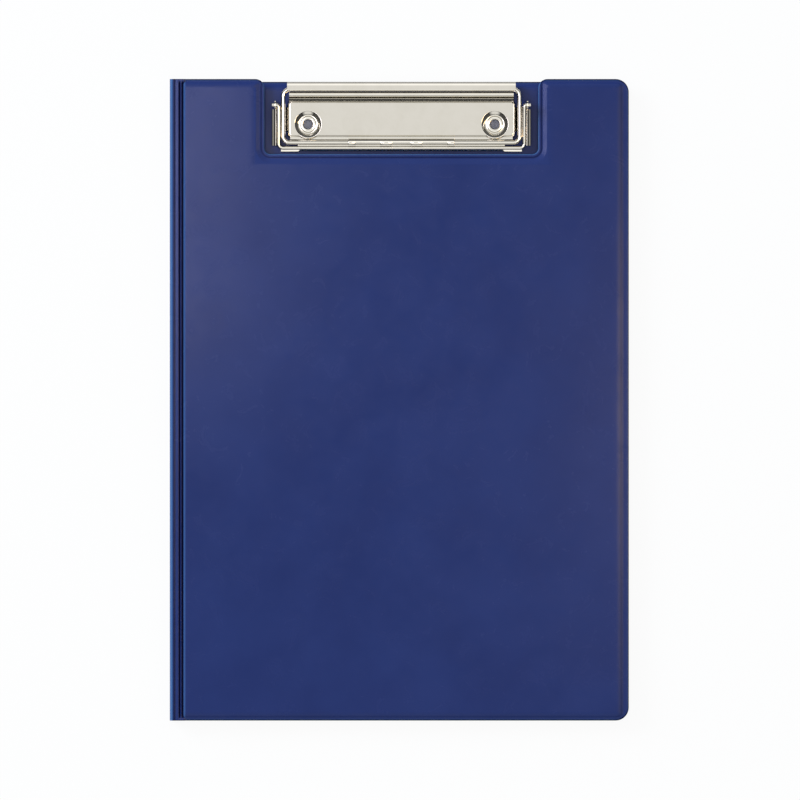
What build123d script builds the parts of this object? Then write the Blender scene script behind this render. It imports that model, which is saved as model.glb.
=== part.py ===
"""A4 foldover clipboard: two board panels in welded PVC, a soft spine and a wire lever clip.

Lengths are in millimetres. X runs from the spine to the free edge, Y towards the clip and
Z up from the surface that the closed folder lies on. The origin is under the folder's middle.
"""

from build123d import *
import math
import os

# Folder outline
folder_width = 229.0
folder_length = 320.0
free_corner_radius = 6.5
back_setback = 1.2

# Board and PVC
skin = 0.35
board_thickness = 2.0
panel_gap = 1.0
weld_border = 2.0
weld_level = 1.15
hinge_strip_width = 7.6
hinge_gap = 0.4
groove_width = 0.8
groove_depth = 0.2
groove_pitch = 1.7
groove_setback = 0.7
groove_end_margin = 1.6

# Pocket inside the cover
pocket_sheet = 0.25
pocket_slack = 0.15
pocket_height = 150.0
pocket_margin = 6.0
pocket_weld = 3.0

# Clip position
clip_offset = 1.1
clip_inset = 1.5
notch_clearance = 3.7
notch_inner_radius = 3.0
notch_outer_radius = 4.5
notch_front_gap = 1.1

# Lever: a wire loop with a folded thumb lip
lever_wire = 2.2
lever_width = 118.0
lever_length = 27.1
lever_height = 2.3
lever_lower_radius = 3.0
lever_upper_radius = 2.0
lip_depth = 4.7
lip_sheet = 0.6
lip_edge_radius = 1.2

# Jaw: a wire bow that hangs in the two ears
jaw_wire = 1.8
jaw_setback = 2.7
jaw_length = 21.3
jaw_pivot_height = 4.8
jaw_corner_radius = 2.2
jaw_pin_bend_radius = 1.0
jaw_lift_clearance = 0.15

# Clip base plate
plate_sheet = 0.8
floor_sheet = 0.6
tray_gap = 0.7
tray_height = 2.5
tray_slope_run = 1.2
tray_setback = 4.1
floor_lead = 1.2
front_lip_end_gap = 0.5
front_lip_height = 1.9
front_lip_gap = 0.3
knuckle_width = 53.0
knuckle_finger_width = 6.0
knuckle_finger_pitch = 15.0
knuckle_end_finger = 3.5
running_clearance = 0.08
knuckle_open_from = 140.0
roll_radius = 1.15
roll_bore = 0.7
roll_gap = 0.25
roll_strip = 4.0
wing_start = 5.6
wing_length = 12.0
ear_gap = 0.3
ear_length = 22.4
ear_height = 3.3
ear_flange = 1.3
ear_lug_radius = 2.2
wire_gap = 0.3

# Hollow rivets
rivet_end_margin = 9.4
rivet_setback = 9.1
rivet_bore = 4.7
rivet_wall = 0.6
rivet_head = 8.7
rivet_head_thickness = 0.7
rivet_tail_thickness = 0.45
rivet_tail_overhang = 1.5
rivet_recess = 0.05
rivet_fit = 0.05
washer_diameter = 11.0
washer_thickness = 0.45
washer_clearance = 0.2
dimple_diameter = 13.5
dimple_slope_run = 1.6

# Levels
panel_thickness = board_thickness + 2 * skin
closed_height = 2 * panel_thickness + panel_gap
seat = panel_thickness
lever_z = seat + lever_height
jaw_pivot_z = seat + jaw_pivot_height
jaw_bar_z = seat + floor_sheet + jaw_lift_clearance + jaw_wire / 2

# Places across the folder
free_edge = folder_width / 2
spine_face = -folder_width / 2
flap_edge = spine_face + 2 * skin + hinge_gap
board_edge = spine_face + hinge_strip_width

# Places along the folder
half_length = folder_length / 2
back_half_length = half_length - back_setback
lip_top = half_length - clip_inset
lip_bottom = lip_top - lip_depth
lever_bar_y = lip_bottom + lip_sheet + lever_wire / 2
lever_pivot_y = lever_bar_y - lever_length
jaw_bar_y = lever_pivot_y - jaw_setback
jaw_pivot_y = jaw_bar_y + jaw_length
roll_y = lip_bottom - roll_gap - roll_radius
tray_front = lever_pivot_y + tray_setback
tray_back = roll_y - roll_strip
tray_middle = (tray_front + tray_back) / 2
floor_front = jaw_bar_y - jaw_wire / 2 - floor_lead
notch_bottom = floor_front - notch_front_gap
rivet_y = lever_pivot_y + rivet_setback

# Places across the clip, from its middle
lip_half_width = lever_width / 2 - lever_upper_radius
tray_base_half_width = lever_width / 2 - lever_wire / 2 - tray_gap
tray_half_width = tray_base_half_width - tray_slope_run
front_lip_half_width = lever_width / 2 - lever_lower_radius - front_lip_end_gap
rivet_half_spacing = tray_half_width - rivet_end_margin
jaw_half_width = lever_width / 2 + lever_wire / 2 + wire_gap + jaw_wire / 2
ear_face = jaw_half_width + jaw_wire / 2 + ear_gap
ear_outer = ear_face + plate_sheet
clip_half_width = ear_outer + ear_flange
notch_half_width = clip_half_width + notch_clearance
rivet_places = {"left": clip_offset - rivet_half_spacing, "right": clip_offset + rivet_half_spacing}
shank_diameter = rivet_bore + 2 * rivet_wall
tail_diameter = shank_diameter + 2 * rivet_tail_overhang
tail_low = skin + rivet_recess
tail_high = tail_low + rivet_tail_thickness
washer_high = tail_high + washer_thickness


def block(x_low, x_high, y_low, y_high, z_low, z_high):
    """A box given by its two corners."""
    centre = Pos((x_low + x_high) / 2, (y_low + y_high) / 2, (z_low + z_high) / 2)
    return centre * Box(x_high - x_low, y_high - y_low, z_high - z_low)


def clip_block(x_low, x_high, y_low, y_high, z_low, z_high):
    """A box whose X values are measured from the clip's middle."""
    return Pos(clip_offset, 0, 0) * block(x_low, x_high, y_low, y_high, z_low, z_high)


def round_bar(y, z, length, radius):
    """A bar along X through the clip's middle."""
    return Pos(clip_offset, y, z) * Rot(0, 90, 0) * Cylinder(radius, length)


def upright(x, y, z_low, z_high, radius):
    """A vertical cylinder between two levels."""
    return Pos(x, y, (z_low + z_high) / 2) * Cylinder(radius, z_high - z_low)


def panel_outline(half, right, inset, radius):
    """A panel's outline from the board's spine edge to its free edge, pulled in on the free sides."""
    width = right - inset - board_edge
    height = 2 * (half - inset)
    sheet = Pos(board_edge + width / 2, 0) * Rectangle(width, height)
    corners = sheet.vertices().group_by(Axis.X)[-1]
    return fillet(corners, radius - inset)


def back_outline(inset):
    """The back panel's outline, which stands back a little from the cover's."""
    return panel_outline(back_half_length, free_edge - back_setback, inset, free_corner_radius)


def notch_outline(inset):
    """The clip notch in the cover, open past the top edge and grown by the panel's inset."""
    depth = 2 * (half_length - notch_bottom + inset)
    width = 2 * (notch_half_width + inset)
    return Pos(clip_offset, half_length) * RectangleRounded(width, depth, notch_inner_radius + inset)


def cover_outline(inset):
    """The cover's outline with its clip notch."""
    sheet = panel_outline(half_length, free_edge, inset, free_corner_radius) - notch_outline(inset)
    top_corners = sheet.vertices().group_by(Axis.Y)[-1].sort_by(Axis.X)
    return fillet(top_corners[1:3], notch_outer_radius - inset)


def panel_board(outline):
    """The stiff board, with the panel's outer face at Z = 0."""
    return Pos(0, 0, skin) * extrude(outline(weld_border + skin), board_thickness)


def weld_grooves(half):
    """Two pressed lines along the board's spine edge, in the outer face."""
    grooves = []
    for step in range(2):
        low = board_edge - groove_setback - step * groove_pitch - groove_width / 2
        end = half - groove_end_margin
        grooves.append(block(low, low + groove_width, -end, end, 0, groove_depth))
    return grooves


def panel_outer_skin(outline, half):
    """The outer PVC sheet: a shallow pan over the board, a flat welded border and a hinge flap."""
    pan = extrude(outline(weld_border), weld_level)
    border = Pos(0, 0, weld_level - skin) * extrude(outline(0), skin)
    flap = block(flap_edge, board_edge, -half, half, 0, skin)
    return pan + border + flap - panel_board(outline) - weld_grooves(half)


def panel_inner_skin(outline, half):
    """The inner PVC sheet: a pan welded to the outer one, which joins its hinge flap at the spine."""
    pan = Pos(0, 0, weld_level) * extrude(outline(weld_border), panel_thickness - weld_level)
    border = Pos(0, 0, weld_level) * extrude(outline(0), skin)
    wall = block(board_edge - skin, board_edge, -half, half, skin, panel_thickness)
    flap = block(flap_edge, board_edge - skin, -half, half, skin, 2 * skin)
    return pan + border + wall + flap - panel_board(outline)


def as_cover(shape):
    """Turns a panel over, so that its outer face is the top of the closed folder."""
    return Pos(0, 0, closed_height) * mirror(shape, about=Plane.XY)


def spine_sheet(x_low):
    """One PVC layer of the upright spine."""
    low = 2 * skin + hinge_gap
    return block(x_low, x_low + skin, -half_length, half_length, low, closed_height - low)


def cover_pocket():
    """A PVC sheet welded on three sides inside the cover, open towards the clip."""
    top = panel_thickness + panel_gap
    low = top - pocket_slack - pocket_sheet
    left = board_edge + pocket_margin
    right = free_edge - pocket_margin
    front = -half_length + pocket_margin
    back = front + pocket_height
    sheet = block(left, right, front, back, low, top)
    inner_left = left + pocket_weld
    inner_right = right - pocket_weld
    inner_front = front + pocket_weld
    return sheet - block(inner_left, inner_right, inner_front, back, top - pocket_slack, top)


def pressed_tray(width, depth, height):
    """A low block with four sloping sides, on the clip's seat."""
    angle = math.degrees(math.atan2(tray_slope_run, tray_height))
    base = Rectangle(width, depth)
    return Pos(clip_offset, tray_middle, seat) * extrude(base, height, taper=angle)


def tray_shell():
    """The raised flat of the base plate, hollow underneath."""
    width = 2 * tray_base_half_width
    depth = tray_back - tray_front + 2 * tray_slope_run
    wall = 2 * plate_sheet * math.hypot(tray_slope_run, tray_height) / tray_height
    outside = pressed_tray(width, depth, tray_height)
    inside = pressed_tray(width - wall, depth - wall, tray_height - plate_sheet)
    return outside, outside - inside


def dimple_cone(x, bottom, thickness):
    """The cone of one rivet dimple, widened by the given thickness."""
    height = seat + tray_height - bottom
    top_radius = dimple_diameter / 2 + thickness
    low_radius = top_radius - dimple_slope_run
    return Pos(x, rivet_y, bottom + height / 2) * Cone(low_radius, top_radius, height)


def front_strip():
    """The strip under the jaw's bar, as wide as the lever, that the paper is pressed on."""
    reach = lever_width / 2 + lever_wire / 2
    back = jaw_bar_y + jaw_wire / 2
    return clip_block(-reach, reach, floor_front, back, seat, seat + floor_sheet)


def front_lip():
    """The lower lip in front of the tray, just short of the lever's pivot bar."""
    low = lever_pivot_y + lever_wire / 2 + front_lip_gap
    high = tray_front - tray_slope_run / 2 + plate_sheet
    top = seat + front_lip_height
    return clip_block(-front_lip_half_width, front_lip_half_width, low, high, top - plate_sheet, top)


def knuckle():
    """A curl of the plate that holds the lever's pivot bar and is open towards the jaw."""
    bore = lever_wire / 2 + running_clearance
    reach = 2 * lever_wire + plate_sheet
    angle = math.radians(knuckle_open_from)
    mouth = Polyline(
        (0, 0),
        (reach * math.cos(angle), reach * math.sin(angle)),
        (-reach, -reach),
        (0, -reach),
        close=True,
    )
    section = Circle(bore + plate_sheet) - Circle(bore) - make_face(mouth)
    place = Plane(origin=(clip_offset, lever_pivot_y, lever_z), x_dir=(0, 1, 0), z_dir=(1, 0, 0))
    curl = extrude(place * section, knuckle_width / 2, both=True)
    return curl - knuckle_windows(reach)


def knuckle_windows(reach):
    """Three windows that leave two fingers and two ends of the curl over the pivot bar."""
    finger = knuckle_finger_width / 2
    inner = knuckle_finger_pitch / 2
    end = knuckle_width / 2 - knuckle_end_finger
    spans = [(-end, -inner - finger), (-inner + finger, inner - finger), (inner + finger, end)]
    front = lever_pivot_y - reach
    return [clip_block(low, high, front, lever_pivot_y, lever_z, lever_z + reach) for low, high in spans]


def rear_roll():
    """The plate's rear edge, curled into a small tube."""
    edge = tray_half_width
    strip = clip_block(-edge, edge, tray_back, roll_y, seat, seat + plate_sheet)
    tube = round_bar(roll_y, seat + roll_radius, 2 * edge, roll_radius)
    return strip + tube - round_bar(roll_y, seat + roll_radius, 2 * edge, roll_bore / 2)


def ear(side):
    """One upright side ear with its wing, its turned-out flange and the lug for the jaw's pivot."""
    rear = jaw_pivot_y + ear_lug_radius
    front = rear - ear_length
    wing_front = lever_pivot_y + wing_start
    wing_back = wing_front + wing_length
    wing = block(tray_half_width, ear_outer, wing_front, wing_back, seat, seat + plate_sheet)
    top = seat + ear_height
    wall = block(ear_face, ear_outer, front, rear, seat, top)
    flange_end = jaw_pivot_y - ear_lug_radius
    flange = block(ear_face, ear_outer + ear_flange, front, flange_end, top - plate_sheet, top)
    lug = block(ear_face, ear_outer, flange_end, rear, seat, jaw_pivot_z)
    crown = Pos(ear_face + plate_sheet / 2, jaw_pivot_y, jaw_pivot_z)
    crown = crown * Rot(0, 90, 0) * Cylinder(ear_lug_radius, plate_sheet)
    shape = wing + wall + flange + lug + crown
    if side == "left":
        shape = mirror(shape, about=Plane.YZ)
    return Pos(clip_offset, 0, 0) * shape


def clip_base_plate():
    """The pressed and curled plate that is riveted to the back panel."""
    outside, plate = tray_shell()
    for x in rivet_places.values():
        plate += dimple_cone(x, seat, plate_sheet) & outside
    edge = tray_base_half_width
    plate += clip_block(-edge, edge, floor_front, tray_front, seat, seat + floor_sheet)
    plate += front_strip()
    plate += front_lip()
    plate += knuckle()
    plate += rear_roll()
    plate += ear("left")
    plate += ear("right")
    bore = lever_wire / 2 + running_clearance
    plate -= round_bar(lever_pivot_y, lever_z, knuckle_width, bore)
    pin_bore = jaw_wire / 2 + running_clearance
    plate -= round_bar(jaw_pivot_y, jaw_pivot_z, 2 * clip_half_width, pin_bore)
    for x in rivet_places.values():
        plate -= dimple_cone(x, seat + plate_sheet, 0)
        plate -= upright(x, rivet_y, seat, seat + plate_sheet, shank_diameter / 2 + rivet_fit)
    return plate


def rivet(x):
    """A hollow rivet: a flat head on the plate and a turned tail in the board, under the outer skin."""
    head_low = seat + plate_sheet
    head_high = head_low + rivet_head_thickness
    head = upright(x, rivet_y, head_low, head_high, rivet_head / 2)
    head = fillet(head.edges().group_by(Axis.Z)[-1], rivet_head_thickness / 2)
    shank = upright(x, rivet_y, tail_low, head_high, shank_diameter / 2)
    tail = upright(x, rivet_y, tail_low, tail_high, tail_diameter / 2)
    return head + shank + tail - upright(x, rivet_y, tail_low, head_high, rivet_bore / 2)


def rivet_washer(x):
    """The washer that spreads the rivet's tail over the board."""
    ring = upright(x, rivet_y, tail_high, washer_high, washer_diameter / 2)
    return ring - upright(x, rivet_y, tail_high, washer_high, shank_diameter / 2 + rivet_fit)


def drill_for_rivets(shape):
    """Cuts the shank holes, and the recesses for tails and washers, into one layer of the back."""
    for x in rivet_places.values():
        shape -= upright(x, rivet_y, skin, seat, shank_diameter / 2 + rivet_fit)
        shape -= upright(x, rivet_y, skin, washer_high, washer_diameter / 2 + washer_clearance)
    return shape


def swept_wire(path, diameter):
    """Round wire along a path."""
    section = Plane(origin=path @ 0, z_dir=path % 0) * Circle(diameter / 2)
    return sweep(section, path=path)


def lever_wire_loop():
    """The lever's closed wire loop, lying flat at rest."""
    middle = (lever_pivot_y + lever_bar_y) / 2
    loop = Pos(clip_offset, middle, lever_z) * Rectangle(lever_width, lever_length)
    loop = fillet(loop.vertices().group_by(Axis.Y)[0], lever_lower_radius)
    loop = fillet(loop.vertices().group_by(Axis.Y)[-1], lever_upper_radius)
    return swept_wire(loop.faces()[0].outer_wire(), lever_wire)


def thumb_lip():
    """A folded sheet, closed round the lever's upper bar, to lift the lever by."""
    height = lever_wire + 2 * lip_sheet
    outer = RectangleRounded(lip_depth, height, lip_edge_radius)
    inner = RectangleRounded(lip_depth - 2 * lip_sheet, lever_wire, lip_edge_radius - lip_sheet)
    place = Plane(
        origin=(clip_offset, (lip_top + lip_bottom) / 2, lever_z), x_dir=(0, 1, 0), z_dir=(1, 0, 0)
    )
    return extrude(place * (outer - inner), lip_half_width, both=True)


def jaw_wire_bow():
    """The jaw's wire bow: pins in the ears, two sloping arms and the clamping bar."""
    pin_end = ear_outer + ear_flange - running_clearance
    slope = Vector(0, jaw_length, jaw_pivot_z - jaw_bar_z)
    arm = slope.length
    upwards = Vector(1, 0, 0).cross(slope)
    place = Plane(origin=(clip_offset, jaw_bar_y, jaw_bar_z), x_dir=(1, 0, 0), z_dir=upwards)
    path = FilletPolyline(
        (-pin_end, arm),
        (-jaw_half_width, arm),
        (-jaw_half_width, 0),
        (jaw_half_width, 0),
        (jaw_half_width, arm),
        (pin_end, arm),
        radius=[jaw_pin_bend_radius, jaw_corner_radius, jaw_corner_radius, jaw_pin_bend_radius],
    )
    return swept_wire(place * path, jaw_wire)


def build():
    """Every piece of the clipboard by name."""
    pieces = {
        "back_board": drill_for_rivets(panel_board(back_outline)),
        "back_outer_skin": panel_outer_skin(back_outline, back_half_length),
        "back_inner_skin": drill_for_rivets(panel_inner_skin(back_outline, back_half_length)),
        "cover_board": as_cover(panel_board(cover_outline)),
        "cover_outer_skin": as_cover(panel_outer_skin(cover_outline, half_length)),
        "cover_inner_skin": as_cover(panel_inner_skin(cover_outline, half_length)),
        "cover_pocket": cover_pocket(),
        "spine_outer_skin": spine_sheet(spine_face),
        "spine_inner_skin": spine_sheet(spine_face + skin),
        "clip_base_plate": clip_base_plate(),
        "lever_wire": lever_wire_loop(),
        "thumb_lip": thumb_lip(),
        "jaw_wire": jaw_wire_bow(),
    }
    for side, x in rivet_places.items():
        pieces[f"rivet_{side}"] = rivet(x)
        pieces[f"rivet_washer_{side}"] = rivet_washer(x)
    return pieces


os.makedirs("parts", exist_ok=True)
for name, piece in build().items():
    export_step(piece, f"parts/{name}.step")
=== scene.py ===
"""Dresses an A4 foldover clipboard: two welded PVC panels, a soft spine and a nickel plated lever clip."""

import logging
import math
from dataclasses import dataclass
from enum import Enum
from typing import Iterable, Mapping, Sequence

import bmesh
import bpy
from bmesh.types import BMEdge, BMesh, BMFace, BMVert
from bpy.types import Material, Node, NodeSocket, NodeTree, Object
from mathutils import Matrix, Vector


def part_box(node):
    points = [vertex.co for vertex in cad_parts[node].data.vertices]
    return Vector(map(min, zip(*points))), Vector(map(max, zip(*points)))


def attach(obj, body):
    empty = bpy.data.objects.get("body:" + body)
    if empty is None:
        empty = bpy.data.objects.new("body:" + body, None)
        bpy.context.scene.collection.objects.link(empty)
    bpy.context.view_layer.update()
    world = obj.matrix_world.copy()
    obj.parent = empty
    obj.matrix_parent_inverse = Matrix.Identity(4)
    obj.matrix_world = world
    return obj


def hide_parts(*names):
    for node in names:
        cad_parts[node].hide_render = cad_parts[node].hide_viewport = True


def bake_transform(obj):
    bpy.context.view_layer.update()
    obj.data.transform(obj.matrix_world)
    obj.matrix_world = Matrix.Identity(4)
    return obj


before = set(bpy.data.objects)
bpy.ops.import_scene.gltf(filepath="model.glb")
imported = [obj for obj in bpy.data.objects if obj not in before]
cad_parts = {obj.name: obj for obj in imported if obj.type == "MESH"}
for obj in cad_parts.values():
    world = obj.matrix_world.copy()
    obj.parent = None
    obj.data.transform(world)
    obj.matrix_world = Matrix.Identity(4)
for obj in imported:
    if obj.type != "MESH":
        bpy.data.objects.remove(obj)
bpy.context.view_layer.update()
LOG = logging.getLogger("clipboard")
MM = 0.001

Point = tuple[float, float]

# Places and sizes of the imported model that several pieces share, in millimetres.
RIVET_REACH, RIVET_Y = 46.6, 137.5
KNUCKLE_PIVOT: Point = (128.4, 5.0)
BOARD_START, BOARD_MARGIN = -106.2, 3.2
NOTCH_CLEARANCE, NOTCH_GAP = 3.7, 1.1
# How much wider a skin's blank is at the spine than the panel.
SPARE = 16.0


class Side(Enum):
    """Left or right half of the clip, as the sign of X."""

    LEFT = -1
    RIGHT = 1


# ---------------------------------------------------------------- colours and nodes


def linear(code: str) -> tuple[float, float, float, float]:
    """Turns an sRGB hex colour into the linear RGBA that a shader takes.

    Args:
        code: Six hex digits, with or without a leading hash sign.

    Returns:
        Red, green, blue and an alpha of 1.
    """
    digits = code.lstrip("#")
    shares = [int(digits[i : i + 2], 16) / 255 for i in (0, 2, 4)]
    red, green, blue = (s / 12.92 if s <= 0.04045 else ((s + 0.055) / 1.055) ** 2.4 for s in shares)
    return red, green, blue, 1.0


def add_node(
    tree: NodeTree,
    kind: str,
    settings: Mapping[str, object] | None = None,
    values: Mapping[str | int, object] | None = None,
    links: Mapping[str | int, NodeSocket] | None = None,
) -> Node:
    """Adds one node, sets it up and links its inputs.

    Args:
        tree: The node tree that gets the node.
        kind: The node's type name.
        settings: Attributes of the node and their values.
        values: Constant values of input sockets, by name or number.
        links: Output sockets that feed input sockets, by name or number.

    Returns:
        The new node.
    """
    node = tree.nodes.new(kind)
    for name, value in (settings or {}).items():
        setattr(node, name, value)
    for key, value in (values or {}).items():
        node.inputs[key].default_value = value
    for key, socket in (links or {}).items():
        tree.links.new(socket, node.inputs[key])
    return node


def fresh_material(name: str) -> tuple[Material, NodeTree]:
    """Makes an empty node material.

    Args:
        name: The material's name.

    Returns:
        The material and its cleared node tree.
    """
    material = bpy.data.materials.new(name)
    material.use_nodes = True
    material.node_tree.nodes.clear()
    return material, material.node_tree


def noise(
    tree: NodeTree, place: NodeSocket, size_mm: float, detail: float, roughness: float, distortion: float = 0.0
) -> NodeSocket:
    """Adds a noise texture.

    Args:
        tree: The node tree.
        place: The coordinates that it is read at.
        size_mm: The size of its spots, in millimetres.
        detail: How many finer octaves it has.
        roughness: How strong the finer octaves are.
        distortion: How far it is warped.

    Returns:
        The noise, spread about 0.5.
    """
    values = {"Scale": 1 / (size_mm * MM), "Detail": detail, "Roughness": roughness, "Distortion": distortion}
    return add_node(tree, "ShaderNodeTexNoise", values=values, links={"Vector": place}).outputs["Fac"]


def remap(tree: NodeTree, value: NodeSocket, given: Point, wanted: Point) -> NodeSocket:
    """Maps one range of values to another.

    Args:
        tree: The node tree.
        value: The value.
        given: The range that it comes in.
        wanted: The range that it gets.

    Returns:
        The mapped value.
    """
    values = {"From Min": given[0], "From Max": given[1], "To Min": wanted[0], "To Max": wanted[1]}
    return add_node(tree, "ShaderNodeMapRange", values=values, links={"Value": value}).outputs["Result"]


def mix_colours(tree: NodeTree, share: NodeSocket, first: NodeSocket | str, second: str) -> NodeSocket:
    """Mixes two colours.

    Args:
        tree: The node tree.
        share: The second colour's share.
        first: The first colour, as a socket or a hex code.
        second: The second colour's hex code.

    Returns:
        The mixed colour.
    """
    values: dict[str | int, object] = {7: linear(second)}
    links = {0: share}
    if isinstance(first, str):
        values[6] = linear(first)
    else:
        links[6] = first
    return add_node(tree, "ShaderNodeMix", {"data_type": "RGBA"}, values, links).outputs[2]


def relief(
    tree: NodeTree, height: NodeSocket, strength: float, depth_mm: float, normal: NodeSocket | None = None
) -> NodeSocket:
    """Adds a fine relief to a surface's normal.

    Args:
        tree: The node tree.
        height: The relief's height, from 0 to 1.
        strength: How much of it shows.
        depth_mm: Its depth, in millimetres.
        normal: The normal that it is added to, or None for the plain one.

    Returns:
        The new normal.
    """
    links = {"Height": height}
    if normal is not None:
        links["Normal"] = normal
    values = {"Strength": strength, "Distance": depth_mm * MM}
    return add_node(tree, "ShaderNodeBump", values=values, links=links).outputs["Normal"]


def attribute(tree: NodeTree, name: str) -> NodeSocket:
    """Reads an attribute of the mesh.

    Args:
        tree: The node tree.
        name: The attribute's name.

    Returns:
        Its value.
    """
    return add_node(tree, "ShaderNodeAttribute", {"attribute_name": name}).outputs["Fac"]


def add_surface(tree: NodeTree, values: Mapping[str, object], links: Mapping[str, NodeSocket]) -> None:
    """Adds the surface's shader and the material's output.

    Args:
        tree: The node tree.
        values: The shader's constant inputs.
        links: The sockets that feed its other inputs.
    """
    shader = add_node(tree, "ShaderNodeBsdfPrincipled", values=values, links=links)
    add_node(tree, "ShaderNodeOutputMaterial", links={"Surface": shader.outputs["BSDF"]})


# ---------------------------------------------------------------- finishes


@dataclass(frozen=True)
class WeldedPvc:
    """Plasticised PVC sheet, calendered and pressed over board, then welded along its edges.

    Calendering leaves a very fine matt grain with a soft sheen, and the board under the sheet
    shows as shallow waves in the gloss. Welds, grooves and free edges are darkened with painted shade,
    folds and rims are lightened with painted highlights, and the side on the board is painted pale
    as light falling down the rivets' bores.
    """

    name: str = "pvc_calendered_navy"
    colour: str = "#182A62"
    mottle: str = "#1D2F68"
    # Colours of painted shade (welds, grooves, edges), painted light (the underside seen down the bores) and
    # painted highlight (folds and rims).
    seam: str = "#03062E"
    reverse: str = "#B4B9CF"
    fold: str = "#3C5C88"
    roughness: float = 0.24
    specular: float = 0.15
    painted_shade_specular: float = 0.02
    ior: float = 1.53
    grain_mm: float = 0.9
    grain_depth_mm: float = 0.012
    wave_mm: float = 55.0
    wave_depth_mm: float = 0.35
    cloud_mm: float = 38.0
    rub_mm: float = 11.0

    def build(self) -> Material:
        """Builds the material.

        Returns:
            The finished material.
        """
        material, tree = fresh_material(self.name)
        place = add_node(tree, "ShaderNodeTexCoord").outputs["Object"]
        # The real grain is near 0.2 mm; it is drawn at grain_mm so that it can be seen at all.
        grain = noise(tree, place, self.grain_mm, 3.0, 0.6)
        cloud = noise(tree, place, self.cloud_mm, 4.0, 0.55)
        wave = noise(tree, place, self.wave_mm, 1.0, 0.3)
        rubbed = noise(tree, place, self.rub_mm, 5.0, 0.65, 0.8)
        base = mix_colours(tree, remap(tree, cloud, (0.35, 0.65), (0.0, 1.0)), self.colour, self.mottle)
        # Painted shade darkens the welds, grooves and free edges, and painted highlights lighten the folds and
        # rims.
        # The side that lies on the board is painted pale as light falling down the rivets' bores; it shows only
        # there.
        for name, colour in (("seam", self.seam), ("fold", self.fold), ("reverse", self.reverse)):
            base = mix_colours(tree, attribute(tree, name), base, colour)
        # The painted shade also lowers the specular level there.
        dull = remap(tree, attribute(tree, "seam"), (0.0, 1.0), (self.specular, self.painted_shade_specular))
        gloss = remap(tree, rubbed, (0.3, 0.7), (self.roughness - 0.05, self.roughness + 0.06))
        waved = relief(tree, wave, 1.0, self.wave_depth_mm)
        grained = relief(tree, grain, 0.5, self.grain_depth_mm, waved)
        links = {"Specular IOR Level": dull, "Base Color": base, "Roughness": gloss, "Normal": grained}
        add_surface(tree, {"IOR": self.ior}, links)
        return material


@dataclass(frozen=True)
class NickelPlate:
    """Bright nickel plating on pressed or drawn steel.

    Polished before plating, so it mirrors its surroundings with a warm grey tint, blurred a little
    by fine polishing lines along the strip and by handling marks.
    """

    name: str = "nickel_plated_pressed_steel"
    colour: str = "#DCD8CE"
    smudge: str = "#D6D2C7"
    roughness: float = 0.055
    line_mm: float = 0.45
    line_depth_mm: float = 0.0008
    mark_mm: float = 9.0
    stretch: float = 0.02

    def build(self) -> Material:
        """Builds the material.

        Returns:
            The finished material.
        """
        material, tree = fresh_material(self.name)
        place = add_node(tree, "ShaderNodeTexCoord").outputs["Object"]
        # Polishing lines run along X. The real ones are microns apart and are drawn line_mm apart.
        stretched = {"Scale": (self.stretch, 1.0, 1.0)}
        along = add_node(tree, "ShaderNodeMapping", values=stretched, links={"Vector": place})
        lines = noise(tree, along.outputs["Vector"], self.line_mm, 2.0, 0.5)
        handled = noise(tree, place, self.mark_mm, 4.0, 0.6, 0.5)
        base = mix_colours(tree, remap(tree, handled, (0.4, 0.75), (0.0, 1.0)), self.colour, self.smudge)
        gloss = remap(tree, handled, (0.3, 0.75), (self.roughness - 0.015, self.roughness + 0.03))
        polished = relief(tree, lines, 0.4, self.line_depth_mm)
        add_surface(tree, {"Metallic": 1.0}, {"Base Color": base, "Roughness": gloss, "Normal": polished})
        return material


@dataclass(frozen=True)
class Greyboard:
    """Pressed greyboard from recycled paper, with fibres and specks in its colour."""

    name: str = "greyboard_pressed"
    colour: str = "#8C877D"
    fibre: str = "#6F6A61"
    fibre_mm: float = 1.6
    fibre_depth_mm: float = 0.05

    def build(self) -> Material:
        """Builds the material.

        Returns:
            The finished material.
        """
        material, tree = fresh_material(self.name)
        place = add_node(tree, "ShaderNodeTexCoord").outputs["Object"]
        fibres = noise(tree, place, self.fibre_mm, 6.0, 0.7, 1.2)
        links = {
            "Base Color": mix_colours(tree, fibres, self.colour, self.fibre),
            "Normal": relief(tree, fibres, 0.6, self.fibre_depth_mm),
        }
        add_surface(tree, {"Roughness": 0.9, "Specular IOR Level": 0.2}, links)
        return material


@dataclass(frozen=True)
class Finishes:
    """The built materials, one for each kind of surface."""

    skin: Material
    lining: Material
    plate: Material
    wire: Material
    board: Material


# ---------------------------------------------------------------- mesh helpers


def as_piece(
    bm: BMesh, name: str, material: Material, sharp_degrees: float = 50.0
) -> Object:
    """Turns a mesh built in millimetres into an object at the origin.

    Args:
        bm: The mesh; it is freed.
        name: The piece's name.
        material: Its material.
        sharp_degrees: Edges steeper than this stay sharp.

    Returns:
        The new object.
    """
    bmesh.ops.scale(bm, vec=(MM, MM, MM), verts=bm.verts)
    mesh = bpy.data.meshes.new(name)
    bm.to_mesh(mesh)
    bm.free()
    mesh.materials.append(material)
    mesh.shade_smooth()
    mesh.set_sharp_from_angle(angle=math.radians(sharp_degrees))
    piece = bpy.data.objects.new(name, mesh)
    bpy.context.scene.collection.objects.link(piece)
    return piece


def tidy_shell(bm: BMesh, up: bool | None = None) -> None:
    """Merges doubles and makes the faces of a shell agree.

    Args:
        bm: The mesh.
        up: Whether the largest face looks up, or None for a closed form.
    """
    bmesh.ops.remove_doubles(bm, verts=bm.verts, dist=1e-4)
    bmesh.ops.recalc_face_normals(bm, faces=bm.faces)
    if up is None:
        return
    largest = max(bm.faces, key=lambda f: f.calc_area())
    if (largest.normal.z > 0) != up:
        bmesh.ops.reverse_faces(bm, faces=bm.faces)


def thicken(bm: BMesh, thickness: float) -> None:
    """Gives a shell a wall on the inner side of its faces.

    Args:
        bm: The mesh.
        thickness: The wall's thickness.
    """
    bmesh.ops.solidify(bm, geom=bm.faces[:], thickness=thickness)


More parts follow.
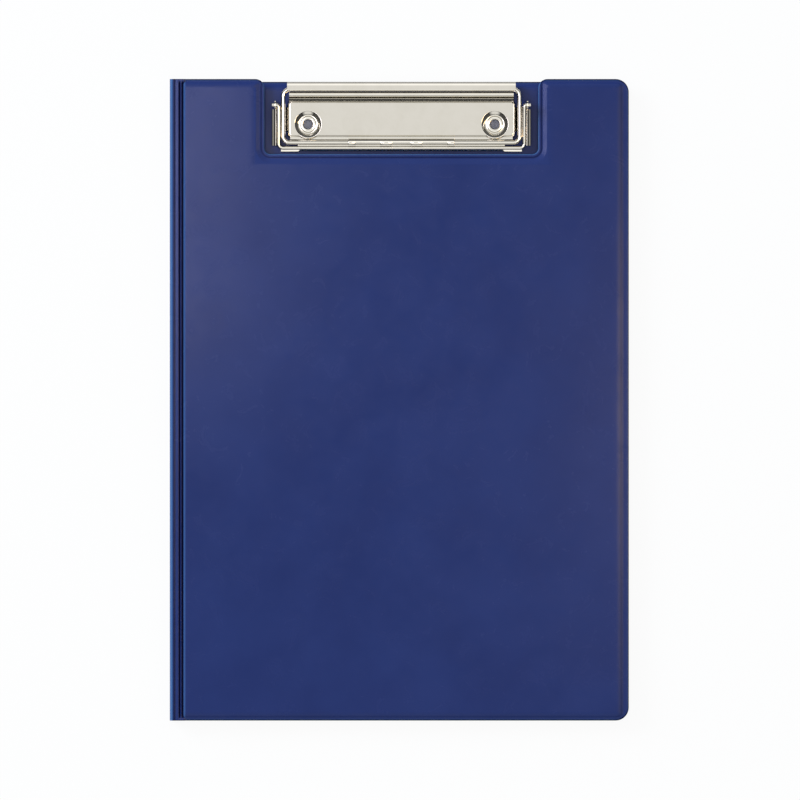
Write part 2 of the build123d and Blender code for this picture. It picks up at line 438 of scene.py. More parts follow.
def only(kind: type, geometry: Iterable[object]) -> list:
    """Picks the elements of one kind.

    Args:
        kind: BMVert, BMEdge or BMFace.
        geometry: Mixed elements.

    Returns:
        The elements of that kind, in order.
    """
    return [g for g in geometry if isinstance(g, kind)]


def move(bm: BMesh, offset: Sequence[float], verts: Iterable[BMVert] | None = None) -> None:
    """Moves vertices.

    Args:
        bm: The mesh.
        offset: How far they go.
        verts: Which ones, or None for all.
    """
    bmesh.ops.translate(bm, vec=offset, verts=bm.verts if verts is None else verts)


def split(bm: BMesh, place: Sequence[float], normal: Sequence[float], clear: bool = False) -> None:
    """Cuts all faces along a plane.

    Args:
        bm: The mesh.
        place: A point of the plane.
        normal: The plane's normal.
        clear: Whether what lies beyond the plane goes.
    """
    geom = bm.verts[:] + bm.edges[:] + bm.faces[:]
    bmesh.ops.bisect_plane(bm, geom=geom, plane_co=place, plane_no=normal, clear_outer=clear)


def ease(bm: BMesh, geom: Sequence[object], offset: float, segments: int, affect: str = "EDGES") -> None:
    """Rounds edges, or the corners of a flat outline.

    Args:
        bm: The mesh.
        geom: The edges or vertices.
        offset: The rounding's size.
        segments: Steps across it.
        affect: "EDGES" or "VERTICES".
    """
    bmesh.ops.bevel(
        bm,
        geom=geom,
        offset=offset,
        offset_type="OFFSET",
        segments=segments,
        profile=0.5,
        affect=affect,
        material=-1,
    )


def revolve(
    bm: BMesh,
    edges: Sequence[BMEdge],
    centre: Sequence[float],
    axis: Sequence[float],
    angle: float,
    steps: int,
    closed: bool = False,
) -> list[BMEdge]:
    """Turns a section about an axis.

    Args:
        bm: The mesh.
        edges: The section.
        centre: A point of the axis.
        axis: The axis.
        angle: How far it turns, in radians.
        steps: Faces along the turn.
        closed: Whether the last section meets the first.

    Returns:
        The edges of the last section.
    """
    made = bmesh.ops.spin(
        bm, geom=edges, cent=centre, axis=axis, angle=angle, steps=steps, use_merge=closed, use_duplicate=False
    )["geom_last"]
    return only(BMEdge, made)


def chain(bm: BMesh, points: Iterable[Sequence[float]]) -> list[BMEdge]:
    """Joins a few points by edges.

    Args:
        bm: The mesh that gets them.
        points: The corners of the profile.

    Returns:
        The edges, in order.
    """
    verts = [bm.verts.new(p) for p in points]
    return [bm.edges.new(pair) for pair in zip(verts, verts[1:])]


def pull(
    bm: BMesh, edges: Sequence[BMEdge], offset: Sequence[float]
) -> list[BMEdge]:
    """Extrudes edges by an offset.

    Args:
        bm: The mesh.
        edges: The edges to pull.
        offset: How far they go.

    Returns:
        The edges at the far end.
    """
    made = bmesh.ops.extrude_edge_only(bm, edges=edges)["geom"]
    verts = only(BMVert, made)
    move(bm, offset, verts)
    return [e for e in only(BMEdge, made) if all(v in verts for v in e.verts)]


def rectangle(bm: BMesh, low: Point, high: Point, z: float) -> BMFace:
    """Makes a flat rectangle that looks up.

    Args:
        bm: The mesh that gets it.
        low: Its lower left corner.
        high: Its upper right corner.
        z: Its level.

    Returns:
        The face.
    """
    size = Matrix.Diagonal((high[0] - low[0], high[1] - low[1], 1, 1))
    centre = Matrix.Translation(((low[0] + high[0]) / 2, (low[1] + high[1]) / 2, z))
    made = bmesh.ops.create_grid(bm, x_segments=1, y_segments=1, size=0.5, matrix=centre @ size)
    return made["verts"][0].link_faces[0]


def round_corner(bm: BMesh, place: Point, radius: float, segments: int = 10) -> None:
    """Rounds one corner of a flat outline.

    Args:
        bm: The mesh.
        place: The corner, in plan.
        radius: The corner's radius.
        segments: Steps round the corner.
    """
    corner = min(bm.verts, key=lambda v: (v.co.x - place[0]) ** 2 + (v.co.y - place[1]) ** 2)
    ease(bm, [corner], radius, segments, "VERTICES")


def turned(line: Sequence[Point], place: Point, steps: int, up: bool | None = None) -> BMesh:
    """Turns a section about an upright axis.

    Args:
        line: Pairs of radius and height.
        place: The axis, in plan.
        steps: Faces round the axis.
        up: Whether the largest face looks up, or None for a closed form.

    Returns:
        The turned mesh.
    """
    x, y = place
    bm = bmesh.new()
    edges = chain(bm, [(x + r, y, z) for r, z in line])
    revolve(bm, edges, (x, y, 0), (0, 0, 1), 2 * math.pi, steps, closed=True)
    tidy_shell(bm, up)
    return bm


def press_rings(
    bm: BMesh, face: BMFace, profile: Sequence[Point], scale: float = 1.0
) -> BMFace:
    """Steps a flat face inwards and along its normal.

    Args:
        bm: The mesh.
        face: The face; it becomes the plateau.
        profile: Pairs of distance from the outline and height, from the first ring on.
        scale: A factor on the heights.

    Returns:
        The plateau.
    """
    inset, height = 0.0, 0.0
    for distance, level in profile:
        bmesh.ops.inset_region(
            bm,
            faces=[face],
            thickness=distance - inset,
            depth=(level - height) * scale,
            use_boundary=True,
            use_even_offset=True,
        )
        inset, height = distance, level
    return face


def dress(
    piece: Object, slot: str, body: str | None = None, nodes: Sequence[str] = ()
) -> Object:
    """Ties a finished piece to its body, hides the CAD nodes that it stands for, and logs its material slot.

    Args:
        piece: The finished piece.
        slot: The material slot's name, for the log and the choice of normals.
        body: The body that it rides on, or None to leave it on no body.
        nodes: The CAD nodes that it replaces.

    Returns:
        The piece.
    """
    if body:
        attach(piece, body)
    if body and not slot.startswith("nickel"):
        step = piece.modifiers.new("flat_faces_stay_flat", "WEIGHTED_NORMAL")
        step.keep_sharp = True
    if nodes:
        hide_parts(*nodes)
    LOG.info("%s: %d faces, slot %s", piece.name, len(piece.data.polygons), slot)
    return piece


def cut_hole(piece: Object, x: float, y: float, diameter: float) -> None:
    """Cuts an upright round hole through a piece.

    Args:
        piece: The piece.
        x: The hole's place across, in millimetres.
        y: Its place along, in millimetres.
        diameter: Its diameter, in millimetres.
    """
    bm = bmesh.new()
    bmesh.ops.create_cone(
        bm,
        cap_ends=True,
        segments=48,
        radius1=diameter / 2,
        radius2=diameter / 2,
        depth=30,
        matrix=Matrix.Translation((x, y, 3)),
    )
    cutter = as_piece(bm, piece.name + "_drill", piece.data.materials[0])
    step = piece.modifiers.new("hole", "BOOLEAN")
    step.object = cutter
    step.solver = "EXACT"
    graph = bpy.context.evaluated_depsgraph_get()
    piece.data = bpy.data.meshes.new_from_object(piece.evaluated_get(graph))
    piece.modifiers.clear()
    bpy.data.objects.remove(cutter)


# ---------------------------------------------------------------- panels


@dataclass(frozen=True)
class Plan:
    """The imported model's main places in plan, in millimetres."""

    cover_low: Vector
    cover_high: Vector
    back_low: Vector
    back_high: Vector
    clip_middle: float
    notch_half: float
    notch_bottom: float

    @staticmethod
    def from_frame() -> "Plan":
        """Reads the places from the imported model.

        Returns:
            The plan.
        """
        cover_low, cover_high = (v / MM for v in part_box("cover_outer_skin"))
        back_low, back_high = (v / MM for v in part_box("back_outer_skin"))
        clip_low, clip_high = (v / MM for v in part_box("clip_base_plate"))
        middle = (clip_low.x + clip_high.x) / 2
        half = (clip_high.x - clip_low.x) / 2 + NOTCH_CLEARANCE
        return Plan(cover_low, cover_high, back_low, back_high, middle, half, clip_low.y - NOTCH_GAP)


# Share of the way from the weld level to the plateau, by distance from the free edge.
EDGE_PROFILE: tuple[Point, ...] = (
    (0.10, 0.12), (0.30, 0.24), (0.55, 0.30), (1.00, 0.32), (1.40, 0.38), (1.80, 0.52), (2.20, 0.67),
    (2.60, 0.785), (3.00, 0.87), (3.40, 0.925), (3.80, 0.963), (4.20, 0.99), (4.45, 1.0),
)
# The same share by distance from the long free side.
SIDE_PROFILE: tuple[Point, ...] = (
    (0.0, 0.30), (2.7, 0.30), (3.0, 0.315), (3.5, 0.512), (4.0, 0.696), (4.7, 0.861), (5.1, 0.925),
    (5.6, 0.97), (6.2, 0.985), (7.0, 0.995), (8.0, 1.0),
)
# The same share by distance from the clip's opening.
WIDE_PROFILE: tuple[Point, ...] = (
    (0.0, 0.30), (1.6, 0.30), (2.2, 0.32), (2.6, 0.38), (3.1, 0.51), (3.7, 0.655), (4.3, 0.775), (4.9, 0.865),
    (5.5, 0.928), (6.2, 0.97), (7.0, 0.992), (8.0, 1.0),
)

# Shares of the rise: below the first a sheet is welded and darkened with painted shade, below the second it is a
# ledge.
WELD_SHARE, LEDGE_SHARE = 0.29, 0.31
# The ledge gets no painted shade within this distance from the long free side.
SIDE_LEDGE = 3.0
# How far the painted highlight round the clip's opening reaches.
NOTCH_RIM = 1.2
# How far the painted highlight on the roll over the board's edge reaches, and how strong it is by distance from
# that edge.
ROLL_REACH = 0.6
ROLL_HIGHLIGHT: tuple[Point, ...] = ((-0.8, 0.4), (-0.4, 0.6), (0.0, 0.6), (0.4, 0.0))


def share_at(profile: Sequence[Point], distance: float) -> float:
    """Reads a profile of straight pieces.

    Args:
        profile: Pairs of distance and share, in order.
        distance: The distance.

    Returns:
        The share at that distance.
    """
    for (d0, s0), (d1, s1) in zip(profile, profile[1:]):
        if distance <= d1:
            return s0 + (s1 - s0) * max(0.0, distance - d0) / (d1 - d0)
    return profile[-1][1]


@dataclass(frozen=True)
class PressedSkin:
    """A PVC sheet pressed over one face of a board and welded round its free edges."""

    name: str
    low: Point
    high: Point
    weld_level: float
    plateau_level: float
    corner_radius: float
    roll: tuple[Point, ...]
    board_edge: float = -106.9
    sheet: float = 0.3
    soft: bool = False
    notch: tuple[float, float, float] | None = None
    notch_inner_radius: float = 3.0
    notch_outer_radius: float = 4.5

    def outline(self, bm: BMesh) -> BMFace:
        """Makes the sheet's flat outline, wider on the spine's side than it ends up.

        Args:
            bm: The mesh that gets it.

        Returns:
            The outline's face.
        """
        rectangle(bm, (self.board_edge - SPARE, self.low[1]), self.high, 0)
        if self.notch:
            self.cut_notch(bm)
        round_corner(bm, (self.high[0], self.low[1]), self.corner_radius)
        round_corner(bm, self.high, self.corner_radius)
        return bm.faces[:][0]

    def cut_notch(self, bm: BMesh) -> None:
        """Cuts the opening for the clip and rounds its four corners.

        Args:
            bm: The flat outline.
        """
        left, right, bottom = self.notch
        for x in (left, right):
            split(bm, (x, 0, 0), (1, 0, 0))
        split(bm, (0, bottom, 0), (0, 1, 0))
        centres = {f: f.calc_center_median() for f in bm.faces}
        inside = [f for f, c in centres.items() if left < c.x < right and c.y > bottom]
        bmesh.ops.delete(bm, geom=inside, context="FACES")
        bmesh.ops.dissolve_faces(bm, faces=bm.faces[:], use_verts=False)
        straight = [v for v in bm.verts if len(v.link_edges) == 2 and v.calc_edge_angle(0) < 1e-3]
        bmesh.ops.dissolve_verts(bm, verts=straight)
        for x in (left, right):
            round_corner(bm, (x, bottom), self.notch_inner_radius, 8)
            round_corner(bm, (x, self.high[1]), self.notch_outer_radius, 8)

    def roll_over(self, bm: BMesh, rise: float) -> None:
        """Rolls the sheet over the board's edge at the spine.

        Args:
            bm: The mesh, whose weld level is 0.
            rise: The plateau's height over the weld level.
        """
        start = self.board_edge + self.roll[0][0]
        split(bm, (start, 0, 0), (-1, 0, 0), clear=True)
        edges = [e for e in bm.edges if e.is_boundary and all(abs(v.co.x - start) < 1e-4 for v in e.verts)]
        shares = {v: v.co.z / rise for e in edges for v in e.verts}
        for (x_from, _), (x_to, level) in zip(self.roll, self.roll[1:]):
            made = bmesh.ops.extrude_edge_only(bm, edges=edges)["geom"]
            fresh: dict[BMVert, float] = {}
            for vert in only(BMVert, made):
                fresh[vert] = shares[min(shares, key=lambda v: (v.co - vert.co).length)]
            for vert, share in fresh.items():
                vert.co.x += x_to - x_from
                vert.co.z = rise * share * level
            shares = fresh
            edges = [e for e in only(BMEdge, made) if all(v in fresh for v in e.verts)]

    def soften(self, bm: BMesh, rise: float) -> None:
        """Lets the plateau fall gently towards the long free side and the clip's opening.

        Args:
            bm: The mesh, whose weld level is 0.
            rise: The plateau's height over the weld level.
        """
        left, right, bottom = self.notch
        cuts = [((self.high[0] - reach, 0, 0), (1, 0, 0)) for reach, _ in SIDE_PROFILE[5:]]
        for reach, _ in WIDE_PROFILE[7:]:
            cuts += [((x, 0, 0), (1, 0, 0)) for x in (left - reach, right + reach)]
            cuts.append(((0, bottom - reach, 0), (0, 1, 0)))
        for place, normal in cuts:
            split(bm, place, normal)
        for vert in bm.verts:
            aside = share_at(SIDE_PROFILE, self.high[0] - vert.co.x)
            share = min(aside, share_at(WIDE_PROFILE, self.to_notch(vert.co)))
            vert.co.z = min(vert.co.z, rise * share)

    def to_notch(self, place: Vector) -> float:
        """Measures the distance in plan from the rounded outline of the clip's opening.

        Args:
            place: The point.

        Returns:
            The distance, endless where there is no opening.
        """
        if not self.notch:
            return math.inf
        left, right, bottom = self.notch
        aside = max(left - place.x, place.x - right) + self.notch_inner_radius
        below = bottom - place.y + self.notch_inner_radius
        return math.hypot(max(aside, 0.0), max(below, 0.0)) - self.notch_inner_radius

    def tint(self, bm: BMesh, rise: float) -> None:
        """Marks painted shade along the welded free edges and painted highlights on the folds and rims.

        Args:
            bm: The mesh, whose weld level is 0.
            rise: The plateau's height over the weld level.
        """
        seam = bm.verts.layers.float.new("seam")
        fold = bm.verts.layers.float.new("fold")
        for vert in bm.verts:
            share, inward = vert.co.z / rise, vert.co.x - self.board_edge
            welded, to_side = share < WELD_SHARE, self.high[0] - vert.co.x
            # Painted highlight on the roll over the board's edge and round the clip's opening.
            if inward < ROLL_REACH:
                vert[fold] = share_at(ROLL_HIGHLIGHT, inward)
            elif self.to_notch(vert.co) < NOTCH_RIM:
                vert[fold] = 0.8 if welded else 0.0
            elif share < LEDGE_SHARE:
                rim = min(to_side, self.high[1] - vert.co.y, vert.co.y - self.low[1])
                # Painted shade on the weld and the ledge, and a thin painted highlight just inside the free edges.
                vert[seam] = 1.0 if welded else (0.0 if to_side < SIDE_LEDGE else 0.6)
                vert[fold] = 0.35 if 0.4 < rim < 0.8 else 0.0

    def build(self, material: Material) -> Object:
        """Builds the skin.

        Args:
            material: Its PVC.

        Returns:
            The finished piece.
        """
        bm = bmesh.new()
        rise = abs(self.plateau_level - self.weld_level)
        face = self.outline(bm)
        if face.normal.z < 0:
            bmesh.ops.reverse_faces(bm, faces=[face])
        press_rings(bm, face, EDGE_PROFILE, rise)
        self.roll_over(bm, rise)
        if self.soft:
            self.soften(bm, rise)
        self.tint(bm, rise)
        up = self.plateau_level > self.weld_level
        if not up:
            bmesh.ops.scale(bm, vec=(1, 1, -1), verts=bm.verts)
        tidy_shell(bm, up)
        thicken(bm, self.sheet)
        # The underside is painted pale as light falling down the rivets' bores.
        reverse = bm.verts.layers.float.new("reverse")
        for vert in bm.verts:
            inner = all((f.normal.z < -0.3) == up and abs(f.normal.z) > 0.3 for f in vert.link_faces)
            vert[reverse] = 1.0 if inner else 0.0
        move(bm, (0, 0, self.weld_level))
        return as_piece(bm, self.name, material, 60)


@dataclass(frozen=True)
class StiffBoard:
    """A greyboard cut to the panel, with its edges pressed round under the skins."""

    name: str
    low: Point
    high: Point
    bottom: float
    thickness: float = 2.0
    corner_radius: float = 3.0
    edge_radius: float = 0.8
    notch: tuple[float, float, float] | None = None

    def build(self, material: Material) -> Object:
        """Builds the board.

        Args:
            material: Its greyboard.

        Returns:
            The finished piece.
        """
        # The outline is cut for a skin, which is wider at the spine by SPARE; the board isn't.
        edge = self.low[0] + SPARE
        plan = PressedSkin(self.name, self.low, self.high, 0, 0, self.corner_radius, (), edge, notch=self.notch)
        bm = bmesh.new()
        made = bmesh.ops.extrude_face_region(bm, geom=[plan.outline(bm)])["geom"]
        move(bm, (0, 0, self.thickness), only(BMVert, made))
        tidy_shell(bm)
        rims = [e for e in bm.edges if abs(e.verts[0].co.z - e.verts[1].co.z) < 1e-6]
        ease(bm, rims, self.edge_radius, 3)
        move(bm, (0, 0, self.bottom))
        return as_piece(bm, self.name, material)


# Height over the plateau's share, by distance from the board's edge towards the panel.
OUTER_ROLL: tuple[Point, ...] = (
    (0.80, 1.0), (0.50, 0.99), (0.20, 0.95), (-0.05, 0.85), (-0.28, 0.71), (-0.48, 0.56), (-0.62, 0.43),
    (-0.72, 0.30),
)
INNER_ROLL: tuple[Point, ...] = (
    (1.1, 1.0), (0.7, 0.99), (0.35, 0.92), (0.1, 0.78), (0.0, 0.55), (0.0, 0.20), (0.0, -0.2),
)


# Distance from the pocket's outline and height over its weld.
POCKET_PROFILE: tuple[Point, ...] = (
    (0.25, 0.10), (0.6, 0.12), (1.2, 0.08), (2.2, 0.08), (2.8, 0.13), (3.6, 0.26), (4.4, 0.30), (4.6, 0.30),
)


@dataclass
class FrontCover:
    """The front cover: outer skin, inner skin with its pocket, and the board between them."""

    plan: Plan
    finishes: Finishes
    weld_level: float = 5.3
    outer_level: float = 6.4
    inner_level: float = 3.7
    corner_radius: float = 6.5
    board_level: float = 4.05
    side_ledge: float = 0.6
    pocket_radius: float = 5.5
    pocket_sheet: float = 0.08

    def build(self) -> None:
        """Builds and dresses the cover's pieces."""
        plan = self.plan
        low, high = (plan.cover_low.x, plan.cover_low.y), (plan.cover_high.x, plan.cover_high.y)
        notch = (plan.clip_middle - plan.notch_half, plan.clip_middle + plan.notch_half, plan.notch_bottom)
        weld, radius = self.weld_level, self.corner_radius
        outer = PressedSkin(
            "cover_outer_pvc", low, high, weld, self.outer_level, radius, OUTER_ROLL, soft=True, notch=notch
        )
        dress(outer.build(self.finishes.skin), "navy_pvc", "cover", ["cover_outer_skin"])
        inner = PressedSkin("cover_lining_pvc", low, high, weld, self.inner_level, radius, INNER_ROLL, notch=notch)
        dress(inner.build(self.finishes.lining), "navy_pvc_inner", "cover", ["cover_inner_skin"])
        margin = BOARD_MARGIN
        board = StiffBoard(
            "cover_greyboard",
            (BOARD_START, low[1] + margin),
            (high[0] - margin - self.side_ledge, high[1] - margin),
            self.board_level,
            notch=(notch[0] - margin, notch[1] + margin, notch[2] - margin),
        )
        dress(board.build(self.finishes.board), "greyboard", "cover", ["cover_board"])
        self.pocket()

    def pocket(self) -> None:
        """Builds the sheet pocket that is welded inside the cover on three sides."""
        low, high = (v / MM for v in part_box("cover_pocket"))
        bm = bmesh.new()
        # Its open side is cut off after the pressing, so the blank is longer there.
        rectangle(bm, (low.x, low.y), (high.x, high.y + 12), 0)
        for place in ((low.x, low.y), (high.x, low.y)):
            round_corner(bm, place, self.pocket_radius, 8)
        press_rings(bm, bm.faces[:][0], POCKET_PROFILE)
        split(bm, (0, high.y, 0), (0, 1, 0), clear=True)
        bmesh.ops.scale(bm, vec=(1, 1, -1), verts=bm.verts)
        tidy_shell(bm, False)
        thicken(bm, self.pocket_sheet)
        move(bm, (0, 0, high.z - 0.01))
        piece = as_piece(bm, "cover_pocket_sheet", self.finishes.lining, 60)
        dress(piece, "navy_pvc_inner", "cover", ["cover_pocket"])


@dataclass
class BackPanel:
    """The back panel: outer skin, inner skin under the clip, and the board between them."""

    plan: Plan
    finishes: Finishes
    rivets: tuple[Point, Point]
    weld_level: float = 1.1
    outer_level: float = 0.0
    inner_level: float = 2.7
    corner_radius: float = 5.3
    shank: float = 6.0

    def build(self) -> None:
        """Builds and dresses the back panel's pieces."""
        plan = self.plan
        low, high = (plan.back_low.x, plan.back_low.y), (plan.back_high.x, plan.back_high.y)
        outer = PressedSkin(
            "back_outer_pvc", low, high, self.weld_level, self.outer_level, self.corner_radius, OUTER_ROLL
        )
        dress(outer.build(self.finishes.skin), "navy_pvc", "back", ["back_outer_skin"])
        inner = PressedSkin(
            "back_lining_pvc", low, high, self.weld_level, self.inner_level, self.corner_radius, INNER_ROLL
        )
        lining = inner.build(self.finishes.lining)
        margin = BOARD_MARGIN
        board = StiffBoard(
            "back_greyboard", (BOARD_START, low[1] + margin), (high[0] - margin, high[1] - margin), 0.35
        ).build(self.finishes.board)
        for x, y in self.rivets:
            cut_hole(lining, x, y, self.shank)
            cut_hole(board, x, y, 9.0)
        dress(lining, "navy_pvc_inner", "back", ["back_inner_skin"])
        dress(board, "greyboard", "back", ["back_board"])


# X over which the two weld grooves lie, and the level that they fade out to near the spine's ends.
GROOVES: Point = (-109.95, -106.9)
GROOVE_TOP = 6.16
# X over which a faint stripe of painted shade runs along the spine, and how strong it is.
STRIPE: Point = (-113.0, -111.7)
STRIPE_SHARE = 0.45
# Distances from the spine's end: the grooves are gone at the start and whole at the end of the fade.
FADE_START, FADE_RUN, FADE_END = 0.9, 1.3, 2.2


@dataclass
class SoftSpine:
    """The soft spine, as two membranes that each run from a panel's edge to the spine's middle."""

    finishes: Finishes
    sheet: float = 0.6
    half_length: float = 160.0
    middle: float = 3.2

    @staticmethod
    def section() -> tuple[Point, ...]:
        """The outer line of the upper membrane, from under the cover's edge round to the spine's middle.

        Returns:
            Pairs of X and height.
        """
        return (
            (-106.5, 5.50), (-107.5, 5.60), (-107.8, 5.57), (-108.1, 5.57), (-108.35, 5.65), (-108.5, 5.86),
            (-108.65, 6.05), (-108.8, 6.11), (-108.95, 6.05), (-109.1, 5.86), (-109.25, 5.65), (-109.45, 5.58),
            (-109.65, 5.63), (-109.8, 5.82), (-109.95, 6.05), (-110.1, 6.16), (-110.3, 6.21), (-110.8, 6.16),
            (-111.2, 6.09), (-111.55, 6.05), (-111.8, 6.10), (-112.05, 6.24), (-112.3, 6.36), (-112.55, 6.40),
            (-112.8, 6.35), (-113.15, 6.20), (-113.5, 5.99), (-113.8, 5.73), (-114.05, 5.42), (-114.27, 5.0),
            (-114.42, 4.5), (-114.5, 3.9), (-114.5, 3.2),
        )

    def membrane(self, name: str, upper: bool) -> Object:
        """Makes one membrane.

        Args:
            name: The piece's name.
            upper: Whether it joins the cover, or else the back.

        Returns:
            The piece.
        """
        bm = bmesh.new()
        edges = chain(bm, [(x, -self.half_length, z) for x, z in self.section()])
        near_ends = (0.5, 0.9, 1.3, 1.7, 2.2)
        stations = [-self.half_length + d for d in near_ends] + [-80.0, 0.0, 80.0]
        stations += [self.half_length - d for d in reversed(near_ends)] + [self.half_length]
        place = -self.half_length
        for station in stations:
            edges = pull(bm, edges, (0, station - place, 0))
            place = station
        for vert in bm.verts:
            self.fade_groove(vert)
        bmesh.ops.recalc_face_normals(bm, faces=bm.faces)
        probe = min(bm.faces, key=lambda f: f.calc_center_median().x)
        if probe.normal.x > 0:
            bmesh.ops.reverse_faces(bm, faces=bm.faces)
        seam = bm.verts.layers.float.new("seam")
        fold = bm.verts.layers.float.new("fold")
        for vert in bm.verts:
            # Painted shade in the grooves, on a stripe and at the spine's ends.
            vert[seam] = self.painted_shade_share(vert)
            # Painted highlight along the spine's outer edge.
            vert[fold] = share_at(((-114.3, 0.0), (-114.0, 1.0), (-113.3, 1.0), (-112.9, 0.0)), vert.co.x)
        thicken(bm, self.sheet)
        if not upper:
            bmesh.ops.scale(bm, vec=(1, 1, -1), verts=bm.verts)
            move(bm, (0, 0, 2 * self.middle))
            bmesh.ops.reverse_faces(bm, faces=bm.faces)
        return as_piece(bm, name, self.finishes.skin, 70)

    def fade_groove(self, vert: BMVert) -> None:
        """Lets the weld grooves run out just before the ends of the spine.

        Args:
            vert: A point of the membrane, which is lifted there.
        """
        to_end = self.half_length - abs(vert.co.y)
        if self.in_grooves(vert) and to_end <= FADE_END:
            share = min(1.0, max(0.0, (to_end - FADE_START) / FADE_RUN))
            vert.co.z = GROOVE_TOP + (vert.co.z - GROOVE_TOP) * share

    @staticmethod
    def in_grooves(vert: BMVert) -> bool:
        """Tells whether a point lies in the strip of the two weld grooves.

        Args:
            vert: The point.

        Returns:
            Whether it does.
        """
        return GROOVES[0] <= vert.co.x <= GROOVES[1]

    def painted_shade_share(self, vert: BMVert) -> float:
        """How much painted shade a point has.

        Args:
            vert: The point.

        Returns:
            A share from 0 to 1.
        """
        to_end = self.half_length - abs(vert.co.y)
        if to_end < 0.1:
            return 1.0
        if STRIPE[0] < vert.co.x < STRIPE[1]:
            return STRIPE_SHARE
        if to_end < 1.2 or not self.in_grooves(vert):
            return 0.0
        return min(1.0, max(0.0, (6.10 - vert.co.z) / 0.35))

    def build(self) -> None:
        """Builds both membranes, on no body."""
        top = self.membrane("spine_membrane_cover", True)
        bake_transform(top)
        dress(top, "navy_pvc", None, ["spine_outer_skin"])
        low = self.membrane("spine_membrane_back", False)
        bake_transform(low)
        dress(low, "navy_pvc", None, ["spine_inner_skin"])


# ---------------------------------------------------------------- wires


@dataclass(frozen=True)
class Turn:
    """A bend of the wire towards a new heading."""

    radius: float
    towards: tuple[float, float, float]
    steps: int = 8


@dataclass(frozen=True)
class Run:
    """A straight run of the wire."""

    length: float


@dataclass
class WireBender:
    """Bends drawn wire on pins, one run and one turn after another."""

    diameter: float
    sides: int = 24

    def bend(
        self, start: Vector, heading: Vector, moves: Sequence[Turn | Run], closed: bool
    ) -> BMesh:
        """Bends one wire.

        Args:
            start: Where the wire's centre starts.
            heading: The first direction.
            moves: Runs and turns in order.
            closed: Whether the last ring meets the first.

        Returns:
            The wire's mesh.
        """
        bm = bmesh.new()
        tilt = Vector((0, 0, 1)).rotation_difference(heading).to_matrix().to_4x4()
        ring = bmesh.ops.create_circle(
            bm,
            cap_ends=False,
            segments=self.sides,
            radius=self.diameter / 2,
            matrix=Matrix.Translation(start) @ tilt,
        )
        edges = list({e for v in ring["verts"] for e in v.link_edges})
        place, heading = start.copy(), heading.normalized()
        for step in moves:
            if isinstance(step, Run):
                edges = pull(bm, edges, heading * step.length)
                place = place + heading * step.length
                continue
            towards = Vector(step.towards).normalized()
            side = (towards - heading * towards.dot(heading)).normalized()
            angle = heading.angle(towards)
            centre = place + side * step.radius
            axis = heading.cross(towards).normalized()
            edges = revolve(bm, edges, centre, axis, angle, step.steps)
            place = centre + Matrix.Rotation(angle, 3, axis) @ (place - centre)
            heading = towards
        if not closed:
            loops = [e for e in bm.edges if e.is_boundary]
            bmesh.ops.holes_fill(bm, edges=loops, sides=0)
        bmesh.ops.remove_doubles(bm, verts=bm.verts, dist=1e-3)
        bmesh.ops.recalc_face_normals(bm, faces=bm.faces)
        return bm


@dataclass
class Lever:
    """The wire loop that turns in the knuckle, with the folded lip that the thumb presses."""

    plan: Plan
    finishes: Finishes
    diameter: float = 2.2
    half_width: float = 59.0
    pivot: Point = KNUCKLE_PIVOT
    bar_y: float = 155.0
    lower_radius: float = 3.0
    upper_radius: float = 3.6

    def build(self) -> None:
        """Builds and dresses the loop and its lip."""
        middle, (y, z) = self.plan.clip_middle, self.pivot
        half, low, up = self.half_width, self.lower_radius, self.upper_radius
        side = Run(self.bar_y - y - low - up)
        moves = (
            Run(half - low), Turn(low, (0, 1, 0)), side, Turn(up, (-1, 0, 0)), Run(2 * (half - up)),
            Turn(up, (0, -1, 0)), side, Turn(low, (1, 0, 0)), Run(half - low),
        )
        bm = WireBender(self.diameter).bend(Vector((middle, y, z)), Vector((1, 0, 0)), moves, True)
        dress(as_piece(bm, "lever_bent_wire", self.finishes.wire), "nickel_wire", "lever", ["lever_wire"])
        self.lip()

    def lip(self) -> None:
        """Builds the sheet that is folded round the upper bar and pressed flat on top."""
        low, high = (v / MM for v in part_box("thumb_lip"))
        section = (
            (0.35, 0.85), (0.38, 2.8), (0.46, 3.12), (0.6, 3.3), (0.82, 3.38), (1.1, 3.4), (2.85, 3.4),
            (3.05, 3.385), (3.25, 3.34), (4.15, 3.06), (4.4, 2.94), (4.58, 2.72), (4.68, 2.4), (4.7, 1.9),
            (4.62, 1.1), (4.3, 0.45), (3.75, 0.08), (3.2, 0.0), (1.3, 0.0), (0.8, 0.1), (0.47, 0.42),
            (0.35, 0.85),
        )
        bm = bmesh.new()
        edges = chain(bm, [(low.x, low.y + y, low.z + z) for y, z in section])
        for step in (0.1, high.x - low.x - 0.2, 0.1):
            edges = pull(bm, edges, (step, 0, 0))
        bmesh.ops.remove_doubles(bm, verts=bm.verts, dist=1e-4)
        bmesh.ops.holes_fill(bm, edges=[e for e in bm.edges if e.is_boundary], sides=0)
        bmesh.ops.recalc_face_normals(bm, faces=bm.faces)
        ends = [f for f in bm.faces if abs(f.normal.x) > 0.9]
        bmesh.ops.inset_region(bm, faces=ends, thickness=0.5, depth=0.0, use_even_offset=True)
        bmesh.ops.inset_region(bm, faces=ends, thickness=0.06, depth=-0.7, use_even_offset=True)
        dress(as_piece(bm, "lever_thumb_lip", self.finishes.plate, 40), "nickel_plate", "lever", ["thumb_lip"])


